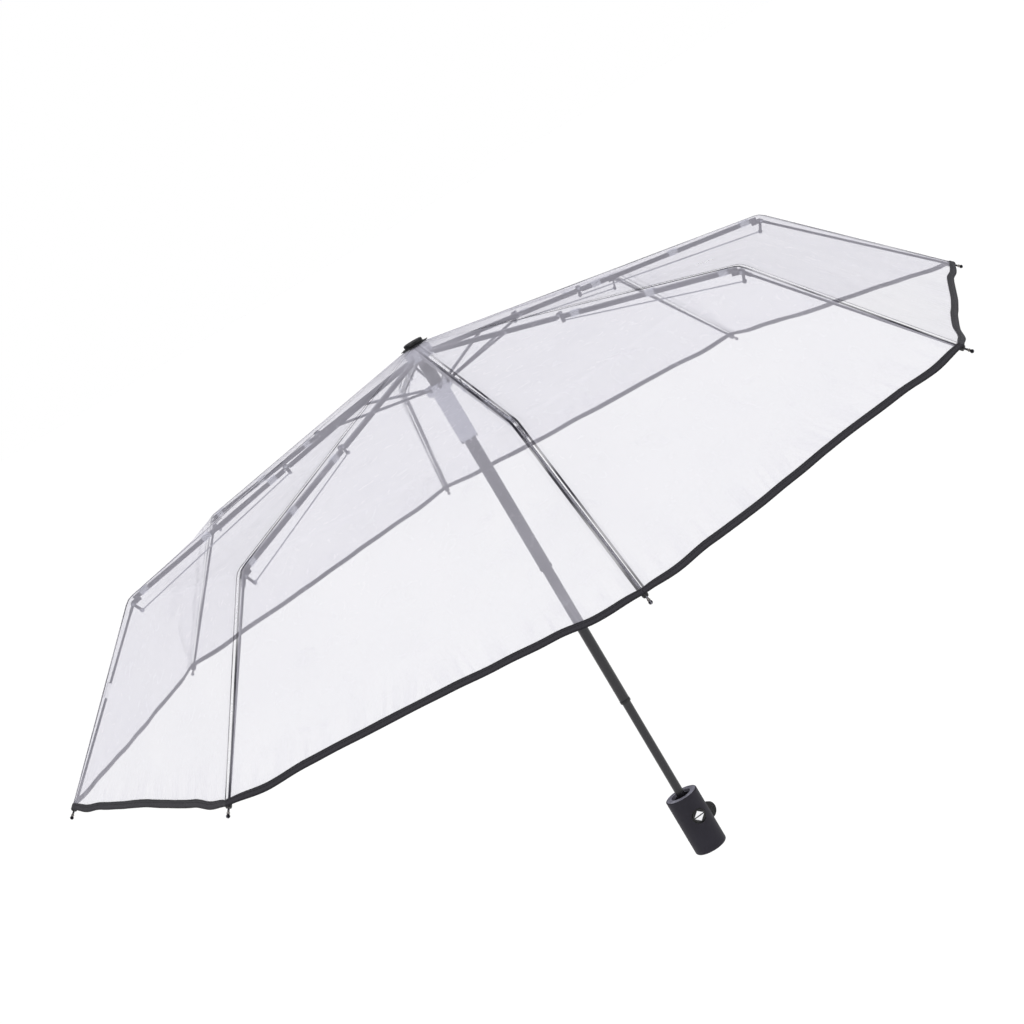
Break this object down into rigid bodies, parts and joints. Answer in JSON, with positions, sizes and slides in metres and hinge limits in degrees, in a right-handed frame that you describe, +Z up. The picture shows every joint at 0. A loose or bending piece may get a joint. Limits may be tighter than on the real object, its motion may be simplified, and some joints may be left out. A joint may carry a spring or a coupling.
{
  "type": "folding umbrella",
  "caption": "Compact three-section automatic umbrella, open: clear film canopy on folding ribs, telescoping black shaft, cylindrical push-button grip.",
  "frame": {"origin": "centre of the grip's flat bottom face", "axes": "+Z up the shaft to the crown, +X towards rib 1"},
  "size_m": [0.9864, 0.9864, 0.5634],
  "materials": {
    "clear_film": "clear lavender-grey vinyl film",
    "black_tape": "woven black edge tape",
    "plated_steel": "bright plated channel",
    "black_steel": "black lacquered channel",
    "steel_wire": "drawn wire",
    "black_shaft": "satin black tube",
    "grey_nylon": "translucent light grey nylon",
    "black_plastic": "soft-touch charcoal"
  },
  "bodies": {
    "grip": {"handle_shell": "black_plastic", "handle_base_cap": "black_plastic", "strap_lug": "black_plastic", "lower_tube": "black_shaft"},
    "push_button": {"push_button": "black_plastic"},
    "middle_tube": {"middle_tube": "black_shaft"},
    "crown": {"upper_tube": "black_shaft", "crown_notch": "grey_nylon", "crown_ring_wire": "steel_wire", "top_cap": "black_plastic", "cap_washer": "black_tape", "canopy_film": "clear_film", "hem_binding": "black_tape"},
    "runner": {"runner": "grey_nylon", "runner_ring_wire": "steel_wire"},
    "top_rib_1": {"top_rib_1": "plated_steel"},
    "stretcher_1": {"stretcher_1": "plated_steel"},
    "middle_rib_1": {"middle_rib_1": "black_steel"},
    "outer_rib_1": {"outer_rib_1": "black_steel"},
    "control_rod_1": {"control_rod_1": "steel_wire"},
    "top_rib_2": {"top_rib_2": "plated_steel"},
    "stretcher_2": {"stretcher_2": "plated_steel"},
    "middle_rib_2": {"middle_rib_2": "black_steel"},
    "outer_rib_2": {"outer_rib_2": "black_steel"},
    "control_rod_2": {"control_rod_2": "steel_wire"},
    "top_rib_3": {"top_rib_3": "plated_steel"},
    "stretcher_3": {"stretcher_3": "plated_steel"},
    "middle_rib_3": {"middle_rib_3": "black_steel"},
    "outer_rib_3": {"outer_rib_3": "black_steel"},
    "control_rod_3": {"control_rod_3": "steel_wire"},
    "top_rib_4": {"top_rib_4": "plated_steel"},
    "stretcher_4": {"stretcher_4": "plated_steel"},
    "middle_rib_4": {"middle_rib_4": "black_steel"},
    "outer_rib_4": {"outer_rib_4": "black_steel"},
    "control_rod_4": {"control_rod_4": "steel_wire"},
    "top_rib_5": {"top_rib_5": "plated_steel"},
    "stretcher_5": {"stretcher_5": "plated_steel"},
    "middle_rib_5": {"middle_rib_5": "black_steel"},
    "outer_rib_5": {"outer_rib_5": "black_steel"},
    "control_rod_5": {"control_rod_5": "steel_wire"},
    "top_rib_6": {"top_rib_6": "plated_steel"},
    "stretcher_6": {"stretcher_6": "plated_steel"},
    "middle_rib_6": {"middle_rib_6": "black_steel"},
    "outer_rib_6": {"outer_rib_6": "black_steel"},
    "control_rod_6": {"control_rod_6": "steel_wire"},
    "top_rib_7": {"top_rib_7": "plated_steel"},
    "stretcher_7": {"stretcher_7": "plated_steel"},
    "middle_rib_7": {"middle_rib_7": "black_steel"},
    "outer_rib_7": {"outer_rib_7": "black_steel"},
    "control_rod_7": {"control_rod_7": "steel_wire"},
    "top_rib_8": {"top_rib_8": "plated_steel"},
    "stretcher_8": {"stretcher_8": "plated_steel"},
    "middle_rib_8": {"middle_rib_8": "black_steel"},
    "outer_rib_8": {"outer_rib_8": "black_steel"},
    "control_rod_8": {"control_rod_8": "steel_wire"}
  },
  "joints": [
    {"name": "shaft_collapse", "type": "slide", "parent": "grip", "child": "middle_tube", "axis": [0, 0, -1], "range_m": [0, 0.1375]},
    {"name": "upper_collapse", "type": "slide", "parent": "middle_tube", "child": "crown", "axis": [0, 0, -1], "range_m": [0, 0.14201]},
    {"name": "button_press", "type": "slide", "parent": "grip", "child": "push_button", "axis": [0.1908, -0.9816, 0], "range_m": [0, 0.0022], "stiffness_N_per_m": 600},
    {"name": "canopy_fold", "type": "hinge", "parent": "crown", "child": "top_rib_1", "pos_m": [0.011, 0, 0.55], "axis": [0, 1, 0], "range_deg": [0, 78.6], "deforming": ["canopy_film", "hem_binding"]},
    {"name": "stretcher_fold_1", "type": "hinge", "parent": "top_rib_1", "child": "stretcher_1", "pos_m": [0.0994, 0, 0.53309], "axis": [0, 1, 0], "range_deg": [-157.22, 0]},
    {"name": "middle_rib_fold_1", "type": "hinge", "parent": "top_rib_1", "child": "middle_rib_1", "pos_m": [0.15905, 0, 0.52591], "axis": [0, 1, 0], "range_deg": [-177.02, 0]},
    {"name": "control_rod_fold_1", "type": "hinge", "parent": "top_rib_1", "child": "control_rod_1", "pos_m": [0.15793, 0, 0.51901], "axis": [0, 1, 0], "range_deg": [-178.37, 0]},
    {"name": "outer_rib_fold_1", "type": "hinge", "parent": "middle_rib_1", "child": "outer_rib_1", "pos_m": [0.34176, 0, 0.49062], "axis": [0, 1, 0], "range_deg": [0, 143.52]},
    {"name": "rib_fold_2", "type": "hinge", "parent": "crown", "child": "top_rib_2", "pos_m": [0.00778, 0.00778, 0.55], "axis": [-0.7071, 0.7071, 0], "range_deg": [0, 78.61]},
    {"name": "stretcher_fold_2", "type": "hinge", "parent": "top_rib_2", "child": "stretcher_2", "pos_m": [0.07028, 0.07028, 0.53309], "axis": [-0.7071, 0.7071, 0], "range_deg": [-157.22, 0]},
    {"name": "middle_rib_fold_2", "type": "hinge", "parent": "top_rib_2", "child": "middle_rib_2", "pos_m": [0.11247, 0.11247, 0.52591], "axis": [-0.7071, 0.7071, 0], "range_deg": [-177.02, 0]},
    {"name": "control_rod_fold_2", "type": "hinge", "parent": "top_rib_2", "child": "control_rod_2", "pos_m": [0.11167, 0.11167, 0.51901], "axis": [-0.7071, 0.7071, 0], "range_deg": [-178.37, 0]},
    {"name": "outer_rib_fold_2", "type": "hinge", "parent": "middle_rib_2", "child": "outer_rib_2", "pos_m": [0.24166, 0.24166, 0.49062], "axis": [-0.7071, 0.7071, 0], "range_deg": [0, 143.52]},
    {"name": "rib_fold_3", "type": "hinge", "parent": "crown", "child": "top_rib_3", "pos_m": [0, 0.011, 0.55], "axis": [-1, 0, 0], "range_deg": [0, 78.61]},
    {"name": "stretcher_fold_3", "type": "hinge", "parent": "top_rib_3", "child": "stretcher_3", "pos_m": [0, 0.0994, 0.53309], "axis": [-1, 0, 0], "range_deg": [-157.22, 0]},
    {"name": "middle_rib_fold_3", "type": "hinge", "parent": "top_rib_3", "child": "middle_rib_3", "pos_m": [0, 0.15905, 0.52591], "axis": [-1, 0, 0], "range_deg": [-177.02, 0]},
    {"name": "control_rod_fold_3", "type": "hinge", "parent": "top_rib_3", "child": "control_rod_3", "pos_m": [0, 0.15793, 0.51901], "axis": [-1, 0, 0], "range_deg": [-178.37, 0]},
    {"name": "outer_rib_fold_3", "type": "hinge", "parent": "middle_rib_3", "child": "outer_rib_3", "pos_m": [0, 0.34176, 0.49062], "axis": [-1, 0, 0], "range_deg": [0, 143.52]},
    {"name": "rib_fold_4", "type": "hinge", "parent": "crown", "child": "top_rib_4", "pos_m": [-0.00778, 0.00778, 0.55], "axis": [-0.7071, -0.7071, 0], "range_deg": [0, 78.61]},
    {"name": "stretcher_fold_4", "type": "hinge", "parent": "top_rib_4", "child": "stretcher_4", "pos_m": [-0.07028, 0.07028, 0.53309], "axis": [-0.7071, -0.7071, 0], "range_deg": [-157.22, 0]},
    {"name": "middle_rib_fold_4", "type": "hinge", "parent": "top_rib_4", "child": "middle_rib_4", "pos_m": [-0.11247, 0.11247, 0.52591], "axis": [-0.7071, -0.7071, 0], "range_deg": [-177.02, 0]},
    {"name": "control_rod_fold_4", "type": "hinge", "parent": "top_rib_4", "child": "control_rod_4", "pos_m": [-0.11167, 0.11167, 0.51901], "axis": [-0.7071, -0.7071, 0], "range_deg": [-178.37, 0]},
    {"name": "outer_rib_fold_4", "type": "hinge", "parent": "middle_rib_4", "child": "outer_rib_4", "pos_m": [-0.24166, 0.24166, 0.49062], "axis": [-0.7071, -0.7071, 0], "range_deg": [0, 143.52]},
    {"name": "rib_fold_5", "type": "hinge", "parent": "crown", "child": "top_rib_5", "pos_m": [-0.011, 0, 0.55], "axis": [0, -1, 0], "range_deg": [0, 78.61]},
    {"name": "stretcher_fold_5", "type": "hinge", "parent": "top_rib_5", "child": "stretcher_5", "pos_m": [-0.0994, 0, 0.53309], "axis": [0, -1, 0], "range_deg": [-157.22, 0]},
    {"name": "middle_rib_fold_5", "type": "hinge", "parent": "top_rib_5", "child": "middle_rib_5", "pos_m": [-0.15905, 0, 0.52591], "axis": [0, -1, 0], "range_deg": [-177.02, 0]},
    {"name": "control_rod_fold_5", "type": "hinge", "parent": "top_rib_5", "child": "control_rod_5", "pos_m": [-0.15793, 0, 0.51901], "axis": [0, -1, 0], "range_deg": [-178.37, 0]},
    {"name": "outer_rib_fold_5", "type": "hinge", "parent": "middle_rib_5", "child": "outer_rib_5", "pos_m": [-0.34176, 0, 0.49062], "axis": [0, -1, 0], "range_deg": [0, 143.52]},
    {"name": "rib_fold_6", "type": "hinge", "parent": "crown", "child": "top_rib_6", "pos_m": [-0.00778, -0.00778, 0.55], "axis": [0.7071, -0.7071, 0], "range_deg": [0, 78.61]},
    {"name": "stretcher_fold_6", "type": "hinge", "parent": "top_rib_6", "child": "stretcher_6", "pos_m": [-0.07028, -0.07028, 0.53309], "axis": [0.7071, -0.7071, 0], "range_deg": [-157.22, 0]},
    {"name": "middle_rib_fold_6", "type": "hinge", "parent": "top_rib_6", "child": "middle_rib_6", "pos_m": [-0.11247, -0.11247, 0.52591], "axis": [0.7071, -0.7071, 0], "range_deg": [-177.02, 0]},
    {"name": "control_rod_fold_6", "type": "hinge", "parent": "top_rib_6", "child": "control_rod_6", "pos_m": [-0.11167, -0.11167, 0.51901], "axis": [0.7071, -0.7071, 0], "range_deg": [-178.37, 0]},
    {"name": "outer_rib_fold_6", "type": "hinge", "parent": "middle_rib_6", "child": "outer_rib_6", "pos_m": [-0.24166, -0.24166, 0.49062], "axis": [0.7071, -0.7071, 0], "range_deg": [0, 143.52]},
    {"name": "rib_fold_7", "type": "hinge", "parent": "crown", "child": "top_rib_7", "pos_m": [0, -0.011, 0.55], "axis": [1, 0, 0], "range_deg": [0, 78.61]},
    {"name": "stretcher_fold_7", "type": "hinge", "parent": "top_rib_7", "child": "stretcher_7", "pos_m": [0, -0.0994, 0.53309], "axis": [1, 0, 0], "range_deg": [-157.22, 0]},
    {"name": "middle_rib_fold_7", "type": "hinge", "parent": "top_rib_7", "child": "middle_rib_7", "pos_m": [0, -0.15905, 0.52591], "axis": [1, 0, 0], "range_deg": [-177.02, 0]},
    {"name": "control_rod_fold_7", "type": "hinge", "parent": "top_rib_7", "child": "control_rod_7", "pos_m": [0, -0.15793, 0.51901], "axis": [1, 0, 0], "range_deg": [-178.37, 0]},
    {"name": "outer_rib_fold_7", "type": "hinge", "parent": "middle_rib_7", "child": "outer_rib_7", "pos_m": [0, -0.34176, 0.49062], "axis": [1, 0, 0], "range_deg": [0, 143.52]},
    {"name": "rib_fold_8", "type": "hinge", "parent": "crown", "child": "top_rib_8", "pos_m": [0.00778, -0.00778, 0.55], "axis": [0.7071, 0.7071, 0], "range_deg": [0, 78.61]},
    {"name": "stretcher_fold_8", "type": "hinge", "parent": "top_rib_8", "child": "stretcher_8", "pos_m": [0.07028, -0.07028, 0.53309], "axis": [0.7071, 0.7071, 0], "range_deg": [-157.22, 0]},
    {"name": "middle_rib_fold_8", "type": "hinge", "parent": "top_rib_8", "child": "middle_rib_8", "pos_m": [0.11247, -0.11247, 0.52591], "axis": [0.7071, 0.7071, 0], "range_deg": [-177.02, 0]},
    {"name": "control_rod_fold_8", "type": "hinge", "parent": "top_rib_8", "child": "control_rod_8", "pos_m": [0.11167, -0.11167, 0.51901], "axis": [0.7071, 0.7071, 0], "range_deg": [-178.37, 0]},
    {"name": "outer_rib_fold_8", "type": "hinge", "parent": "middle_rib_8", "child": "outer_rib_8", "pos_m": [0.24166, -0.24166, 0.49062], "axis": [0.7071, 0.7071, 0], "range_deg": [0, 143.52]},
    {"name": "runner_slide", "type": "hinge", "parent": "stretcher_1", "child": "runner", "pos_m": [0.011, 0, 0.51617], "axis": [0, 1, 0], "range_deg": [0, 78.61]}
  ],
  "couplings": [
    {"joint": "upper_collapse", "follows": "shaft_collapse", "ratio": 1.0327},
    {"joint": "stretcher_fold_1", "follows": "canopy_fold", "ratio": -2},
    {"joint": "middle_rib_fold_1", "follows": "canopy_fold", "ratio": -2.2519},
    {"joint": "control_rod_fold_1", "follows": "canopy_fold", "ratio": -2.269},
    {"joint": "outer_rib_fold_1", "follows": "canopy_fold", "ratio": 1.8257},
    {"joint": "rib_fold_2", "follows": "canopy_fold", "ratio": 1},
    {"joint": "stretcher_fold_2", "follows": "canopy_fold", "ratio": -2},
    {"joint": "middle_rib_fold_2", "follows": "canopy_fold", "ratio": -2.2519},
    {"joint": "control_rod_fold_2", "follows": "canopy_fold", "ratio": -2.269},
    {"joint": "outer_rib_fold_2", "follows": "canopy_fold", "ratio": 1.8257},
    {"joint": "rib_fold_3", "follows": "canopy_fold", "ratio": 1},
    {"joint": "stretcher_fold_3", "follows": "canopy_fold", "ratio": -2},
    {"joint": "middle_rib_fold_3", "follows": "canopy_fold", "ratio": -2.2519},
    {"joint": "control_rod_fold_3", "follows": "canopy_fold", "ratio": -2.269},
    {"joint": "outer_rib_fold_3", "follows": "canopy_fold", "ratio": 1.8257},
    {"joint": "rib_fold_4", "follows": "canopy_fold", "ratio": 1},
    {"joint": "stretcher_fold_4", "follows": "canopy_fold", "ratio": -2},
    {"joint": "middle_rib_fold_4", "follows": "canopy_fold", "ratio": -2.2519},
    {"joint": "control_rod_fold_4", "follows": "canopy_fold", "ratio": -2.269},
    {"joint": "outer_rib_fold_4", "follows": "canopy_fold", "ratio": 1.8257},
    {"joint": "rib_fold_5", "follows": "canopy_fold", "ratio": 1},
    {"joint": "stretcher_fold_5", "follows": "canopy_fold", "ratio": -2},
    {"joint": "middle_rib_fold_5", "follows": "canopy_fold", "ratio": -2.2519},
    {"joint": "control_rod_fold_5", "follows": "canopy_fold", "ratio": -2.269},
    {"joint": "outer_rib_fold_5", "follows": "canopy_fold", "ratio": 1.8257},
    {"joint": "rib_fold_6", "follows": "canopy_fold", "ratio": 1},
    {"joint": "stretcher_fold_6", "follows": "canopy_fold", "ratio": -2},
    {"joint": "middle_rib_fold_6", "follows": "canopy_fold", "ratio": -2.2519},
    {"joint": "control_rod_fold_6", "follows": "canopy_fold", "ratio": -2.269},
    {"joint": "outer_rib_fold_6", "follows": "canopy_fold", "ratio": 1.8257},
    {"joint": "rib_fold_7", "follows": "canopy_fold", "ratio": 1},
    {"joint": "stretcher_fold_7", "follows": "canopy_fold", "ratio": -2},
    {"joint": "middle_rib_fold_7", "follows": "canopy_fold", "ratio": -2.2519},
    {"joint": "control_rod_fold_7", "follows": "canopy_fold", "ratio": -2.269},
    {"joint": "outer_rib_fold_7", "follows": "canopy_fold", "ratio": 1.8257},
    {"joint": "rib_fold_8", "follows": "canopy_fold", "ratio": 1},
    {"joint": "stretcher_fold_8", "follows": "canopy_fold", "ratio": -2},
    {"joint": "middle_rib_fold_8", "follows": "canopy_fold", "ratio": -2.2519},
    {"joint": "control_rod_fold_8", "follows": "canopy_fold", "ratio": -2.269},
    {"joint": "outer_rib_fold_8", "follows": "canopy_fold", "ratio": 1.8257},
    {"joint": "runner_slide", "follows": "canopy_fold", "ratio": 1}
  ]
}
